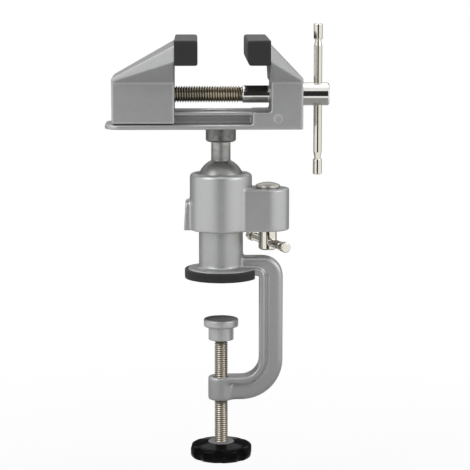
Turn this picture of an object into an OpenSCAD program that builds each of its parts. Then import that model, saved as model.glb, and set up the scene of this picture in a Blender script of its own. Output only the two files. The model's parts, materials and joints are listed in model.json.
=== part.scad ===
// Swivel precision vise with a ball socket, a lever lock and a bench clamp.
// The origin is the middle of the bench pad's underside. Z points up and X points along the jaw screw,
// from the moving jaw towards the turning bar. All sizes are millimetres.

/* [Nodes] */

// Names of all separate pieces

// Which piece is drawn

/* [Bench pad and post] */

// Outer radius of the rubber bench pad
pad_radius = 21.2; // [20:0.1:21.5]

// Distance from the post axis to the bench pad's flat side by the arm
pad_cut = 19.8; // [19:0.1:20.6]

// Full height of the rubber bench pad
pad_height = 5.8; // [5.2:0.1:6]

// Thickness of the rubber under the flange
pad_floor = 1.8; // [1.4:0.1:2.4]

// Thickness of the rubber wall round the flange
pad_wall = 1.6; // [1.2:0.1:2.2]

// Thickness of the round flange
flange_height = 4.4; // [4.1:0.1:5]

// Radius of the visible post
post_radius = 12.9; // [12:0.1:13.2]

// Height of the visible post above the flange
post_height = 22.3; // [19:0.1:27]

// Radius of the blend at the foot of the post
post_fillet = 1.8; // [1:0.1:2.4]

/* [Clamp arm] */

// Distance from the post axis to the inside of the arm
arm_reach = 22.4; // [21.8:0.1:26]

// Thickness of the flat inner strip of the arm
strip_thickness = 3.3; // [2.6:0.1:4]

// Width of the flat inner strip of the arm
strip_width = 14.5; // [13:0.1:15]

// Half the width of the rib along the arm
rib_radius = 5.15; // [4.6:0.05:5.4]

// Rounding of the rib's corners
rib_corner = 3; // [2.4:0.1:4]

// Width of the web between strip and rib
web_width = 7.2; // [6:0.1:8]

// Height of the arm's top over the flange
arm_rise = 6.8; // [5:0.1:8]

// Outer radius of the arm's upper bend
upper_bend = 12; // [11:0.1:13]

// Inner radius of the arm's lower bend
lower_bend = 10.5; // [9:0.1:11.5]

// Depth of the clamp's mouth, from the pad's underside to the lower boss
mouth_height = 59; // [54:0.5:66]

// Radius of the lower boss round the clamp screw
boss_radius = 7.65; // [7:0.05:8.2]

// Height of the lower boss
boss_height = 14; // [13.9:0.1:16]

/* [Clamp screw] */

// Outer radius of the clamp screw's thread
clamp_thread_radius = 3.9; // [3.6:0.05:4.1]

// Pitch of the clamp screw's thread
clamp_pitch = 1.25; // [1:0.05:1.5]

// Gap between bench pad and clamp pad as drawn
clamp_opening = 24.4; // [16:0.1:34]

// Radius of the clamp pad's disc
disc_radius = 10.2; // [9:0.1:11]

// Thickness of the clamp pad's disc
disc_height = 4.8; // [4.4:0.1:5.6]

// Radius of the clamp pad's sleeve
sleeve_radius = 7.4; // [7.2:0.1:7.9]

// Height of the clamp pad's sleeve
sleeve_height = 7.8; // [7.6:0.1:9]

// Radius of the ball tip in the clamp pad
tip_radius = 3.1; // [2.8:0.1:3.3]

// Radius of the screw's neck under the ball tip
tip_neck_radius = 2.2; // [2:0.1:2.3]

// Distance from the clamp pad's face down to the knob's top
knob_drop = 75.6; // [74:0.1:82]

// Radius to the tips of the knob's lobes
knob_radius = 18.3; // [17:0.1:20]

// Height of the knob
knob_height = 8; // [7:0.1:10]

// Number of lobes round the knob
knob_lobes = 8; // [6:1:8]

// Turn of the knob about its screw as drawn, in degrees
knob_turn = 18; // [-30:1:30]

// Radius of a flute between two lobes
flute_radius = 5; // [4:0.1:5.6]

// Depth of a flute between two lobes
flute_depth = 2.1; // [1.4:0.1:2.2]

// Rounding of the knob's rim
knob_rim = 2.4; // [2.3:0.1:2.8]

// Radius of the grey insert in the knob
insert_radius = 7.6; // [7:0.1:8.2]

// Height of the cone on the knob's top
crown_rise = 1.3; // [0.6:0.1:1.6]

// How far the insert stands out of that cone
insert_rise = 0.3; // [0.1:0.1:1]

/* [Ball socket] */

// Radius of the ball
ball_radius = 13.5; // [13.3:0.05:13.8]

// Height of the ball's centre over the bottom of the housing
ball_rise = 28.2; // [27.7:0.1:29.1]

// Outer radius of the housing
housing_radius = 18.1; // [17.6:0.1:19]

// Height of the housing
housing_height = 33.3; // [32.9:0.1:33.7]

// Rounding of the housing's top edge
housing_round = 2.4; // [2:0.1:3.4]

// Radius of the housing's mouth at the top
mouth_radius = 14.2; // [14:0.05:14.6]

// Height over the ball's centre where the mouth starts to flare
flare_rise = 2.6; // [2.4:0.05:2.8]

// Height of the ball seat's top over the bottom of the housing
seat_rise = 22.5; // [21.7:0.1:23.1]

// Height of the post's top over the bottom of the housing
spigot_rise = 12.5; // [12:0.1:12.7]

// Radius of the neck between ball and collar
neck_radius = 5.6; // [5:0.1:5.8]

// Blend radius between neck and ball
neck_blend = 1.2; // [0.8:0.1:2]

// Height of the collar's underside over the ball's centre
collar_rise = 23.3; // [22.8:0.1:26]

// Radius of the collar
collar_radius = 8.75; // [8:0.05:9.2]

// Height of the collar
collar_height = 8.3; // [7:0.1:9]

// Bevel at the collar's lower edge
collar_bevel = 0.9; // [0.5:0.1:1.4]

/* [Rib with the retaining screw] */

// How far the rib stands out of the housing
lug_reach = 3.5; // [3:0.1:4.5]

// Width of the rib
lug_width = 9; // [7:0.1:11]

// Height of the rib
lug_height = 18; // [16:0.1:20]

// Radius of the retaining screw
retainer_radius = 2.5; // [2.2:0.1:2.8]

// Radius of the retaining screw's plain tip
dog_radius = 1.9; // [1.5:0.1:2.1]

// Height of the retaining screw over the bottom of the housing
retainer_rise = 8.4; // [7:0.1:9.4]

/* [Lock] */

// Distance from the housing's axis to the lock's axis
lock_offset = 27.3; // [27:0.1:29]

// Radius of the side boss
side_radius = 12.5; // [11.8:0.1:13]

// Height of the side boss's underside over the housing's bottom
side_rise = 0; // [0:0.1:0.6]

// Height of the side boss
side_height = 24.4; // [24.1:0.1:25.7]

// Radius of the bore through the side boss
side_bore = 6.05; // [5.9:0.05:6.4]

// Outer radius of the lock screw's thread
lock_thread_radius = 3.9; // [3.6:0.05:4]

// Radius of the lock screw's head
lock_head_radius = 5.3; // [5:0.1:5.8]

// Height of the lock screw's head
lock_head_height = 11.8; // [11.2:0.1:12.6]

// Height of the lock bar's axis over the head's lower end
lock_bar_rise = 4.6; // [4.2:0.1:5.8]

// Radius of the domed cap
dome_radius = 7.05; // [6.8:0.05:8]

// Height of the domed cap over its underside
dome_height = 3.1; // [2.6:0.1:3.6]

// Height of the cap's upright rim under the dome
dome_rim = 1.4; // [0.8:0.1:1.8]

// Gap under the dome when the lock is tight
dome_gap = 0.3; // [0.2:0.05:0.5]

// Height of the shoe's axis over the side boss's underside
shoe_rise = 16.7; // [16.3:0.1:16.9]

// Radius of the shoe
shoe_radius = 3.4; // [3:0.1:3.6]

// Length of the lock bar
lock_bar_length = 53.8; // [48:0.1:60]

// Radius of the lock bar
lock_bar_radius = 2.42; // [2.3:0.02:2.5]

// Turn of the lock bar about its screw as drawn, in degrees
lock_bar_angle = -69; // [-80:1:-60]

// How much wider an end piece of the lock bar is than the bar
lock_end_step = 0.5; // [0.3:0.05:0.7]

/* [Vise bed] */

// Length of the bed to the left of the ball's axis
bed_left = 66.7; // [65:0.1:70]

// Length of the bed to the right of the ball's axis
bed_right = 46.8; // [46:0.1:50]

// Width of the bed and of the jaw bodies
bed_width = 36; // [34:0.1:40]

// Thickness of the bed plate
plate_height = 2.8; // [2.4:0.1:3.4]

// Rounding of the bed's free corners
bed_corner = 9; // [6:0.1:14]

// Width of the rail's web
rail_web = 16; // [15.4:0.1:17]

// Height of the rail's web
web_height = 4.7; // [4:0.1:5.2]

// Width of the rail's head
rail_width = 26; // [24:0.1:27]

// Thickness of the rail's head
rail_height = 2.5; // [2:0.1:3]

// Where the rail starts, left of the ball's axis
rail_left = 60; // [56:0.1:62]

// Where the foot of the fixed jaw starts, right of the ball's axis
foot_start = 17.9; // [16:0.1:20]

// End radius of the pocket for the head bolt
pocket_radius = 6.6; // [6.4:0.1:7]

// Length of the pocket between its end centres
pocket_length = 4.4; // [2:0.1:6]

// Depth of the pocket for the head bolt
pocket_depth = 5.6; // [5.5:0.1:6]

// Radius of the head bolt's shank
bolt_radius = 3; // [2.5:0.1:3.2]

// Radius of the head bolt's head
bolt_head_radius = 5; // [4.6:0.1:5.4]

// Height of the head bolt's head
bolt_head_height = 3.8; // [3.2:0.1:4]

// Thickness of the washer
washer_height = 1; // [0.8:0.1:1.2]

// Diameter of the round mark on the foot
mark_diameter = 4.7; // [4:0.1:6]

// Depth of the round mark on the foot
mark_depth = 0.3; // [0.2:0.1:0.5]

/* [Jaws] */

// Width of the jaws
jaw_width = 75; // [72:0.5:80]

// Opening between the jaw covers as drawn
jaw_opening = 27.6; // [22:0.1:30]

// Middle of the opening, right of the ball's axis
opening_middle = 0.4; // [-0.5:0.1:1]

// Length of the moving jaw's body
moving_length = 35.8; // [34:0.1:38]

// Height of the crease over the bed plate
crease_rise = 24.4; // [24:0.1:26]

// Height of the moving jaw's back over the crease
moving_back_rise = 2.2; // [1:0.1:4]

// Height of the fixed jaw's back over the crease
fixed_back_rise = 1.8; // [1:0.1:4]

// Height of the jaws' top edge at the face over the crease
face_rise = 21.8; // [21:0.1:22.2]

// How far the lips reach over the opening
lip_reach = 11.2; // [10:0.1:12.5]

// Height of a lip
lip_height = 10.2; // [9:0.1:10.8]

// How far a lip's top stands over the jaw's top edge
lip_step = 0.8; // [0.3:0.1:1.2]

// How far the fixed jaw's body stands back from its face
face_setback = 1; // [0.6:0.1:1.6]

// Thickness of a jaw cover at the face
cover_front = 2.1; // [1.6:0.1:2.8]

// Thickness of a jaw cover above, below and at the ends
cover_wall = 2; // [1.6:0.1:2.2]

// Height of the bevel on the fixed cover's lower edge
cover_bevel = 2.6; // [2:0.1:4.4]

// Gap between moving jaw and bed plate
jaw_lift = 0.5; // [0.3:0.05:0.8]

/* [Jaw screw] */

// Height of the jaw screw's axis over the bed plate
screw_rise = 16.3; // [15.9:0.1:16.8]

// Outer radius of the jaw screw's thread
jaw_thread_radius = 4.7; // [4.4:0.05:4.8]

// Pitch of the jaw screw's thread
jaw_pitch = 1.5; // [1.25:0.05:1.75]

// Length of thread inside the moving jaw
thread_inside = 29.4; // [26:0.1:32]

// Where the thread ends, right of the ball's axis
thread_end = 11.8; // [11:0.1:13]

// Radius of the jaw screw's plain shank
shank_radius = 5; // [4.9:0.05:5.2]

// Rounding of the shank's shoulder
shank_round = 1.6; // [1:0.1:2]

// Radius of the jaw screw's head
head_radius = 6.6; // [6.2:0.1:7]

// Length of the jaw screw's head
head_length = 15.7; // [15:0.1:17]

// Distance from the fixed jaw to the bar's axis
bar_reach = 9.3; // [8.6:0.1:9.8]

// Radius of the nut in the moving jaw
nut_radius = 7.2; // [6.8:0.1:7.4]

// Length of the nut in the moving jaw
nut_length = 10; // [8:0.1:12]

// Radius of the keeper screw under the fixed jaw
keeper_radius = 2; // [1.6:0.1:2.2]

// Radius of the groove that the keeper stands in
groove_radius = 3.8; // [3.5:0.05:4]

// Radius of the turning bar
bar_radius = 2.42; // [2.3:0.02:2.5]

// Height of the turning bar above the screw's axis
bar_up = 40.5; // [38:0.1:44]

// Length of the turning bar below the screw's axis
bar_down = 46.6; // [42:0.1:50]

// Length of a bar end piece
end_length = 9; // [7:0.1:10]

// Length of the narrow neck before a bar end piece
neck_length = 4.2; // [3:0.1:5]

// Radius of the narrow neck before a bar end piece
waist_radius = 1.8; // [1.5:0.1:2]

// How much wider an end piece of the turning bar is than the bar
end_step = 0.18; // [0.14:0.02:0.3]

/* [Fits] */

// Gap all round a piece that turns or slides in another
fit = 0.05; // [0.03:0.01:0.08]

// Gap all round a piece that is pressed or screwed into another
press = 0.02; // [0.01:0.01:0.03]

/* [Hidden] */

// Roundness of every curve
$fn = 96;

// How far a cut runs past the surface that it cuts
over = 1;

// How far two pieces of one solid run into each other
bite = 0.4;

// Small gaps, walls and shares inside the pieces
strip_gap = 0.2;
spigot_start = 1.4;
groove_depth = 2;
groove_play = 0.15;
bushing_gap = 0.2;
cap_wall = 0.75;
cap_lift = 1.8;
shoe_play = 0.5;
thread_grip = 4;
lip_draft = 0.1;
keeper_share = 0.47;
tip_sink = 0.3;
ring_play = 0.2;
ring_wall = 2.2;
tip_clear = 0.6;

// Colours
casting_grey = [0.60, 0.61, 0.61];
stud_grey = [0.48, 0.48, 0.47];
rubber_black = [0.10, 0.10, 0.10];
knob_black = [0.04, 0.04, 0.04];
bright_steel = [0.80, 0.79, 0.76];
thread_steel = [0.55, 0.52, 0.46];
insert_grey = [0.40, 0.40, 0.41];

// Levels of the bench pad, the post and the arm
flange_radius = pad_radius - pad_wall;
flange_top = pad_floor + flange_height;
housing_bottom = flange_top + post_height;
arm_top = flange_top + arm_rise;
arm_outside = arm_reach + strip_thickness + 2 * rib_radius + strip_gap;
mouth_corner = arm_reach - pad_radius - 2 * fit;
boss_top = -mouth_height;
boss_bottom = boss_top - boss_height;
upper_centre_x = arm_outside - upper_bend;
upper_centre_z = arm_top - upper_bend;
lower_outer = lower_bend + arm_outside - arm_reach;
lower_centre_x = arm_reach - lower_bend;
lower_centre_z = boss_top + lower_bend;
strip_round = 5.2;

// Levels of the socket
ball_level = housing_bottom + ball_rise;
housing_top = housing_bottom + housing_height;
socket_bore = ball_radius + 2 * fit;
spigot_radius = socket_bore - fit;
spigot_bottom = housing_bottom + spigot_start;
spigot_top = housing_bottom + spigot_rise;
seat_top = housing_bottom + seat_rise;
retainer_level = housing_bottom + retainer_rise;
retainer_tip = socket_bore - groove_depth + groove_play;
groove_floor = spigot_radius - groove_depth;
screw_recess = 0.3;
lug_taper = 1;
lug_inset = 2;
blend_x = neck_radius + neck_blend;
blend_span = ball_radius + neck_blend;
blend_z = sqrt(blend_span * blend_span - blend_x * blend_x);
blend_share = ball_radius / blend_span;
collar_level = ball_level + collar_rise;
bed_bottom = collar_level + collar_height;

// Levels of the lock
side_bottom = housing_bottom + side_rise;
side_top = side_bottom + side_height;
shoe_level = side_bottom + shoe_rise;
bushing_top = shoe_level - shoe_radius - fit - bushing_gap;
cap_cone_low = lock_thread_radius + cap_wall;
cap_radius = side_bore - fit;
cone_height = cap_radius - cap_cone_low;
cap_bottom = shoe_level + cap_lift;
shoe_end = lock_offset - lock_thread_radius - shoe_play;
shoe_slope = lock_offset - cap_cone_low + cap_bottom - 2 * fit;
screw_top = cap_bottom + thread_grip;
lock_head_bottom = side_bottom - lock_head_height;
lock_bar_level = lock_head_bottom + lock_bar_rise;
dome_level = side_top + dome_gap;
dome_bulge = dome_height - dome_rim;
dome_sphere = (dome_radius * dome_radius + dome_bulge * dome_bulge) / (2 * dome_bulge);
head_bevel = 0.8;
lock_end_length = 5;
lock_neck_length = 3;

// Levels of the vise head
plate_top = bed_bottom + plate_height;
rail_neck = plate_top + web_height;
rail_top = rail_neck + rail_height;
body_half = bed_width / 2;
jaw_half = jaw_width / 2;
crease_level = plate_top + crease_rise;
face_level = crease_level + face_rise;
lip_top = face_level + lip_step;
lip_bottom = lip_top - lip_height;
ridge_level = lip_bottom - lip_draft;
screw_level = plate_top + screw_rise;
pad_gap_left = opening_middle - jaw_opening / 2;
pad_gap_right = opening_middle + jaw_opening / 2;
moving_face = pad_gap_left - cover_front - lip_reach;
fixed_face = pad_gap_right + cover_front + lip_reach;
moving_back = moving_face - moving_length;
fixed_length = bed_right - fixed_face;
slot_play = 0.1;
pocket_floor = rail_top - pocket_depth;
bolt_seat = pocket_floor + washer_height;
bolt_depth = 13;
bolt_play = 0.2;
washer_margin = 1;
washer_radius = bolt_head_radius + washer_margin;
hex_radius = 2.9;
hex_depth = 2.2;
mark_x = 5;
mark_z = 6.3;
keeper_x = fixed_face + keeper_share * fixed_length;
keeper_tip = screw_level - groove_radius - fit;
keeper_recess = 1;
cover_edge = 0.6;

// Thread and bar shapes
thread_depth = 0.75;
crest_share = 0.5;
bar_core = 1.3;
end_edge = 0.36;
taper_share = 0.8;
screw_end_bevel = 1;
thread_left = moving_face - thread_inside;
jaw_rings = floor((thread_end - thread_left) / jaw_pitch);
bar_x = bed_right + bar_reach;

// Levels of the clamp screw
pad_face = -clamp_opening;
disc_bottom = pad_face - disc_height;
sleeve_bottom = disc_bottom - sleeve_height;
tip_level = disc_bottom - tip_radius + tip_sink;
ring_hole = tip_neck_radius + ring_play;
ring_top = tip_level - sqrt(tip_radius * tip_radius - ring_hole * ring_hole) - fit;
ring_height = 1.6;
ring_bottom = ring_top - ring_height;
ring_radius = sleeve_radius - ring_wall;
tilt_play = 0.45;
tip_roof = 0.8;
clamp_thread_top = sleeve_bottom - tip_clear;
knob_top = pad_face - knob_drop;
knob_bottom = knob_top - knob_height;
insert_top = knob_top + crown_rise + insert_rise;
insert_depth = 4;
clamp_rings = floor((clamp_thread_top - insert_top) / clamp_pitch);
flute_centre = knob_radius + flute_radius - flute_depth;
lobe_step = 360 / knob_lobes;
front_turn = knob_turn - 90;
crown_margin = 0.8;
crown_radius = knob_radius - knob_rim - crown_margin;
dish_radius = 11;
dish_depth = 1.2;

// Flat outline of a side-standing column, rounded at the top
module column_outline(radius, height, top_round) {
    square([radius, height - top_round]);
    square([radius - top_round, height]);
    translate([radius - top_round, height - top_round])
        circle(r = top_round);
}

// Flat outline with two rounded outer corners on the right
module corner_outline(right, top, bottom, top_corner, bottom_corner) {
    translate([0, bottom + bottom_corner])
        square([right, top - top_corner - bottom - bottom_corner]);
    translate([0, bottom])
        square([right - bottom_corner, bottom_corner + bite]);
    translate([0, top - top_corner - bite])
        square([right - top_corner, top_corner + bite]);
    translate([right - bottom_corner, bottom + bottom_corner])
        circle(r = bottom_corner);
    translate([right - top_corner, top - top_corner])
        circle(r = top_corner);
}

// A flat X and Z outline made as wide as given, about the middle plane
module stand(width) {
    rotate([90, 0, 0])
        linear_extrude(height = width, center = true)
            children();
}

// A round hole or rod along X
module rod_x(radius, start, finish, level) {
    translate([start, 0, level])
        rotate([0, 90, 0])
            cylinder(r = radius, h = finish - start);
}

// A round hole or rod along Z
module rod_z(radius, low, high) {
    translate([0, 0, low])
        cylinder(r = radius, h = high - low);
}

// Rings in place of a thread, from level zero upwards
module thread(radius, pitch, rings) {
    root = radius - thread_depth;
    teeth = [
        for (i = [0 : rings - 1])
            each [
                [root, i * pitch],
                [radius, (i + crest_share) * pitch]
            ]
    ];
    rotate_extrude()
        polygon(concat([[0, 0]], teeth, [[root, rings * pitch], [0, rings * pitch]]));
}

// The rod of a turning bar, from its lower to its upper end
module bar_rod(radius, low, high, end_piece, neck) {
    start = low + end_piece;
    finish = high - end_piece;
    taper = neck * taper_share;
    points = [
        [0, low + over],
        [bar_core, low + over],
        [bar_core, start],
        [waist_radius, start],
        [waist_radius, start + neck - taper],
        [radius, start + neck],
        [radius, finish - neck],
        [waist_radius, finish - neck + taper],
        [waist_radius, finish],
        [bar_core, finish],
        [bar_core, high - over],
        [0, high - over]
    ];
    rotate_extrude()
        polygon(points);
}

// The two end pieces of a turning bar
module bar_ends(radius, low, high, end_piece) {
    for (side = [0, 1])
        translate([0, 0, side * (low + high)])
            mirror([0, 0, side])
                difference() {
                    rotate_extrude()
                        end_outline(radius, low, end_piece);
                    rod_z(bar_core + press, low + over, low + end_piece + over);
                }
}

// Flat outline of one end piece, with bevelled edges
module end_outline(radius, low, length) {
    points = [
        [0, low],
        [radius - end_edge, low],
        [radius, low + end_edge],
        [radius, low + length - end_edge],
        [radius - end_edge, low + length],
        [0, low + length]
    ];
    polygon(points);
}

// Flat mouth of the clamp, with its two inner corners
module mouth_outline() {
    translate([-pad_radius, 0])
        corner_outline(arm_reach + pad_radius, pad_floor, boss_top, mouth_corner, lower_bend);
}

// Cross section of the rib: a square with rounded corners
module rib_outline() {
    side = rib_radius - rib_corner;
    translate([-rib_radius, -side])
        square([2 * rib_radius, 2 * side]);
    translate([-side, -rib_radius])
        square([2 * side, 2 * rib_radius]);
    for (x = [-side, side])
        for (y = [-side, side])
            translate([x, y])
                circle(r = rib_corner);
}

// Level stretch of the rib, from the post's axis outwards
module rib_level(finish, level) {
    translate([0, 0, level])
        rotate([90, 0, 90])
            linear_extrude(height = finish)
                rib_outline();
}

// Rib that follows the arm
module arm_rib() {
    rib_level(upper_centre_x, arm_top - rib_radius);
    bend(upper_centre_x, upper_centre_z, upper_bend - rib_radius, 0);
    translate([arm_outside - rib_radius, 0, lower_centre_z])
        linear_extrude(height = upper_centre_z - lower_centre_z)
            rib_outline();
    bend(lower_centre_x, lower_centre_z, lower_outer - rib_radius, -90);
    rib_level(lower_centre_x, lower_centre_z - lower_outer + rib_radius);
}

// Quarter turn of the rib about a centre in the middle plane
module bend(x, z, radius, start) {
    translate([x, 0, z])
        rotate([90, 0, 0])
            rotate([0, 0, start])
                rotate_extrude(angle = 90)
                    translate([radius, 0])
                        rib_outline();
}

// Web between the strip and the rib
module arm_web() {
    stand(web_width)
        difference() {
            corner_outline(
                arm_outside - rib_radius,
                arm_top - rib_radius,
                lower_centre_z - lower_outer + rib_radius,
                upper_bend - rib_radius,
                lower_outer - rib_radius
            );
            mouth_outline();
        }
}

// Flat inner strip of the arm
module arm_strip() {
    stand(strip_width)
        difference() {
            corner_outline(
                arm_reach + strip_thickness,
                flange_top,
                boss_top - strip_thickness,
                strip_round,
                lower_bend + strip_thickness
            );
            mouth_outline();
        }
}

// Round post with its flange and the spigot inside the housing
module post() {
    translate([0, 0, pad_floor])
        cylinder(r = flange_radius, h = flange_height);
    rod_z(post_radius, pad_floor, spigot_bottom + bite);
    rod_z(spigot_radius, spigot_bottom, spigot_top);
    translate([0, 0, flange_top])
        rotate_extrude()
            difference() {
                square([post_radius + post_fillet, post_fillet]);
                translate([post_radius + post_fillet, post_fillet])
                    circle(r = post_fillet);
            }
}

// Frame casting: post, flange, arm and lower boss
module clamp_frame() {
    color(casting_grey)
        difference() {
            union() {
                post();
                arm_strip();
                arm_web();
                arm_rib();
                rod_z(boss_radius, boss_bottom, boss_top);
            }
            rod_z(clamp_thread_radius + fit, boss_bottom - boss_radius, boss_top + over);
            translate([0, 0, retainer_level - dog_radius - groove_play])
                difference() {
                    cylinder(r = spigot_radius + over, h = 2 * (dog_radius + groove_play));
                    cylinder(r = groove_floor, h = 2 * (dog_radius + groove_play));
                }
        }
}

// Rubber cup round the flange
module bench_pad() {
    color(rubber_black)
        difference() {
            rod_z(pad_radius, 0, pad_height);
            translate([pad_cut, -pad_radius, -over])
                cube([pad_radius, 2 * pad_radius, pad_height + 2 * over]);
            rod_z(flange_radius + press, pad_floor, pad_height + over);
            translate([0, -strip_width / 2 - fit, pad_floor])
                cube([pad_radius + over, strip_width + 2 * fit, pad_height]);
        }
}

// Rib on the housing's left side
module housing_lug() {
    outer = housing_radius + lug_reach;
    points = [
        [-housing_radius + lug_inset, side_bottom],
        [-outer, side_bottom],
        [lug_taper - outer, side_bottom + lug_height - lug_taper],
        [2 * lug_taper - outer, side_bottom + lug_height],
        [-housing_radius + lug_inset, side_bottom + lug_height]
    ];
    intersection() {
        stand(lug_width)
            polygon(points);
        union() {
            translate([-outer - over, 0, side_bottom + lug_height - lug_width / 2])
                rotate([0, 90, 0])
                    cylinder(r = lug_width / 2, h = outer);
            translate([-outer - over, -lug_width / 2, side_bottom - over])
                cube([outer, lug_width, lug_height + over - lug_width / 2]);
        }
    }
}

// Flat outline of the flared mouth over the ball
module flare_outline() {
    low = sqrt(socket_bore * socket_bore - flare_rise * flare_rise);
    top = housing_top - ball_level;
    points = [
        [0, flare_rise],
        [low, flare_rise],
        [mouth_radius, top],
        [mouth_radius, top + over],
        [0, top + over]
    ];
    polygon(points);
}

// Housing casting with ball socket, side boss and rib
module socket_housing() {
    color(casting_grey)
        difference() {
            union() {
                translate([0, 0, housing_bottom])
                    rotate_extrude()
                        column_outline(housing_radius, housing_height, housing_round);
                translate([lock_offset, 0, side_bottom])
                    cylinder(r = side_radius, h = side_height);
                translate([0, -side_radius, side_bottom])
                    cube([lock_offset, 2 * side_radius, side_height]);
                housing_lug();
            }
            rod_z(socket_bore, housing_bottom - over, ball_level);
            translate([0, 0, ball_level])
                sphere(r = socket_bore);
            translate([0, 0, ball_level])
                rotate_extrude()
                    flare_outline();
            translate([lock_offset, 0, 0])
                rod_z(side_bore, side_bottom - over, side_top + over);
            rod_x(shoe_radius + fit, 0, lock_offset, shoe_level);
            rod_x(retainer_radius + press, -housing_radius - 2 * lug_reach, 0, retainer_level);
        }
}

// Retaining screw with a plain tip in the post's groove
module retainer_screw() {
    outer = housing_radius + lug_reach - lug_taper - screw_recess;
    color(bright_steel)
        difference() {
            union() {
                rod_x(retainer_radius, -outer, -socket_bore, retainer_level);
                rod_x(dog_radius, -outer, -retainer_tip, retainer_level);
            }
            translate([-outer - over, 0, retainer_level])
                rotate([0, 90, 0])
                    cylinder(r = retainer_radius / 2, h = retainer_radius + over, $fn = 6);
        }
}

// Cup that the ball sits in
module ball_seat() {
    color(stud_grey)
        difference() {
            rod_z(ball_radius + fit, spigot_top, seat_top);
            translate([0, 0, ball_level])
                sphere(r = ball_radius + fit);
        }
}

// Ball, neck and collar in one piece
module ball_stud() {
    color(stud_grey)
        difference() {
            union() {
                translate([0, 0, ball_level])
                    sphere(r = ball_radius);
                rod_z(neck_radius, ball_level, collar_level + bite);
                translate([0, 0, ball_level])
                    rotate_extrude()
                        blend_outline();
                rod_z(collar_radius, collar_level + collar_bevel, bed_bottom);
                translate([0, 0, collar_level])
                    cylinder(r1 = collar_radius - collar_bevel, r2 = collar_radius, h = collar_bevel);
            }
            rod_z(bolt_radius + press, bed_bottom - bolt_depth, bed_bottom + over);
        }
}

// Flat outline of the blend between ball and neck
module blend_outline() {
    points = [
        [0, blend_z * blend_share],
        [blend_x * blend_share, blend_z * blend_share],
        [blend_x, blend_z],
        [0, blend_z]
    ];
    difference() {
        polygon(points);
        translate([blend_x, blend_z])
            circle(r = neck_blend);
    }
}

// Bolt that holds the bed on the ball stud
module head_bolt() {
    color(bright_steel)
        difference() {
            union() {
                rod_z(bolt_head_radius, bolt_seat, bolt_seat + bolt_head_height);
                rod_z(bolt_radius, bed_bottom - bolt_depth + over, bolt_seat + bite);
            }
            translate([0, 0, bolt_seat + bolt_head_height - hex_depth])
                cylinder(r = hex_radius, h = hex_depth + over, $fn = 6);
        }
}

// Washer under the head bolt
module head_washer() {
    color(bright_steel)
        difference() {
            rod_z(washer_radius, pocket_floor, bolt_seat);
            rod_z(bolt_radius + fit, pocket_floor - over, bolt_seat + over);
        }
}

// One jaw with its face at X zero, looking towards plus X
module jaw_block(length, back_level, low, setback) {
    body_points = [
        [-setback, low],
        [-setback, crease_level + bite],
        [-length, crease_level + bite],
        [-length, low]
    ];
    side_points = [
        [0, crease_level],
        [0, lip_bottom],
        [lip_reach, lip_bottom],
        [lip_reach, lip_top],
        [0, lip_top],
        [0, face_level],
        [-length, back_level],
        [-length, crease_level]
    ];
    plan_points = [
        [lip_reach, -jaw_half],
        [lip_reach, jaw_half],
        [0, jaw_half],
        [-length, body_half],
        [-length, -body_half],
        [0, -jaw_half]
    ];
    end_points = [
        [-body_half, crease_level],
        [-jaw_half, ridge_level],
        [-jaw_half, lip_top],
        [jaw_half, lip_top],
        [jaw_half, ridge_level],
        [body_half, crease_level]
    ];
    stand(bed_width)
        polygon(body_points);
    intersection() {
        stand(jaw_width)
            polygon(side_points);
        translate([0, 0, crease_level])
            linear_extrude(height = lip_top - crease_level)
                polygon(plan_points);
        translate([-length, 0, 0])
            rotate([90, 0, 90])
                linear_extrude(height = length + lip_reach)
                    polygon(end_points);
    }
}

// Rubber cover of one lip, with the jaw's face at X zero, looking towards plus X
module jaw_cover(bevel) {
    depth = lip_reach + cover_front;
    low = lip_bottom - cover_wall;
    high = lip_top + cover_wall;
    points = [
        [0, low],
        [depth - bevel / 2, low],
        [depth, low + bevel],
        [depth, high - cover_edge],
        [depth - cover_edge, high],
        [0, high]
    ];
    color(rubber_black)
        difference() {
            stand(jaw_width + 2 * cover_wall)
                polygon(points);
            translate([-over, -jaw_half - press, lip_bottom - press])
                cube([lip_reach + over, jaw_width + 2 * press, lip_height + 2 * press]);
        }
}

// Flat plan of the bed plate
module plate_plan() {
    translate([bed_corner - bed_left, -body_half])
        square([bed_left + bed_right - bed_corner, bed_width]);
    translate([-bed_left, bed_corner - body_half])
        square([bed_left, bed_width - 2 * bed_corner]);
    for (side = [-1, 1])
        translate([bed_corner - bed_left, side * (body_half - bed_corner)])
            circle(r = bed_corner);
}

// Pocket for the head bolt in the rail's top
module bolt_pocket() {
    translate([0, 0, pocket_floor]) {
        cylinder(r = pocket_radius, h = pocket_depth + over);
        translate([-pocket_length, 0, 0])
            cylinder(r = pocket_radius, h = pocket_depth + over);
        translate([-pocket_length, -pocket_radius, 0])
            cube([pocket_length, 2 * pocket_radius, pocket_depth + over]);
    }
}

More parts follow.
